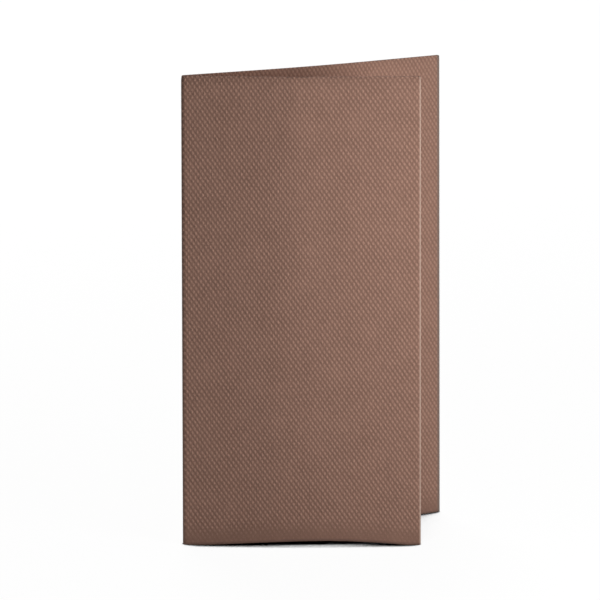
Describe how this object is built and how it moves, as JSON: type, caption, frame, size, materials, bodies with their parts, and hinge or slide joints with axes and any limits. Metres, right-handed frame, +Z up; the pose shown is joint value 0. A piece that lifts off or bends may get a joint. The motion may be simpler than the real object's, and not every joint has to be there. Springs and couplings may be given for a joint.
{
  "type": "paper napkin",
  "caption": "Brown embossed paper dinner napkin, folded to book shape and standing open on its cut edges.",
  "frame": {"origin": "middle of the footprint, on the surface that the napkin stands on", "axes": "+X from the spine towards the fore-edges, +Y from the front leaf towards the back leaf, +Z up to the folded top edge"},
  "size_m": [0.1052, 0.068, 0.1905],
  "materials": {
    "tissue": "matte"
  },
  "bodies": {
    "root": {"napkin": "tissue"}
  },
  "joints": []
}
